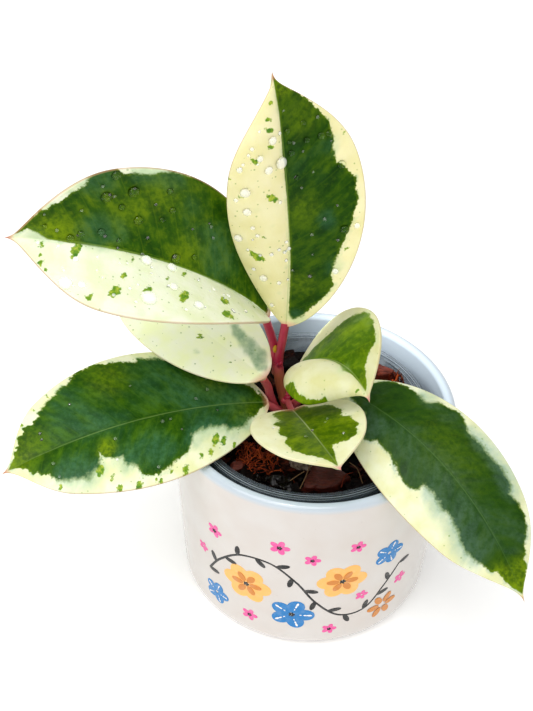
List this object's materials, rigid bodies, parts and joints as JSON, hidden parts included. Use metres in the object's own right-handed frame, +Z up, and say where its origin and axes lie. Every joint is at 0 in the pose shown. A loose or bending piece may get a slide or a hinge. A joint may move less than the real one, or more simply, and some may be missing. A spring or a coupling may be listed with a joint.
{
  "type": "potted plant",
  "caption": "Young variegated hoya with thick oval leaves on a short stem, in a clear nursery pot inside a white glazed cover pot.",
  "frame": {"origin": "centre of the cover pot's flat base, on the surface that it stands on", "axes": "+Z up, out of the soil; -Y towards the viewer of the picture; +X to the viewer's right"},
  "size_m": [0.1698, 0.115, 0.2039],
  "materials": {
    "cachepot": "glossy white glaze over ceramic",
    "nursery_pot": "thin clear smoky plastic",
    "soil": "damp bark and husk mix",
    "stem": "brown bark, crimson satin stalks",
    "leaf_top": "waxy leaf, half green, half cream",
    "leaf_upper_left": "waxy leaf, green and cream",
    "leaf_middle_left": "waxy leaf, nearly all cream",
    "leaf_lower_left": "waxy green leaf with a cream margin",
    "leaf_lower_right": "waxy green leaf with a wide cream margin",
    "leaf_young_front": "young waxy leaf, bright green and cream",
    "leaf_young_back": "young waxy leaf, bright green and cream"
  },
  "bodies": {
    "root": {"cachepot": "cachepot", "nursery_pot": "nursery_pot", "soil": "soil", "stem": "stem", "leaf_top": "leaf_top", "leaf_upper_left": "leaf_upper_left", "leaf_middle_left": "leaf_middle_left", "leaf_lower_left": "leaf_lower_left", "leaf_lower_right": "leaf_lower_right", "leaf_young_front": "leaf_young_front", "leaf_young_back": "leaf_young_back"}
  },
  "joints": []
}
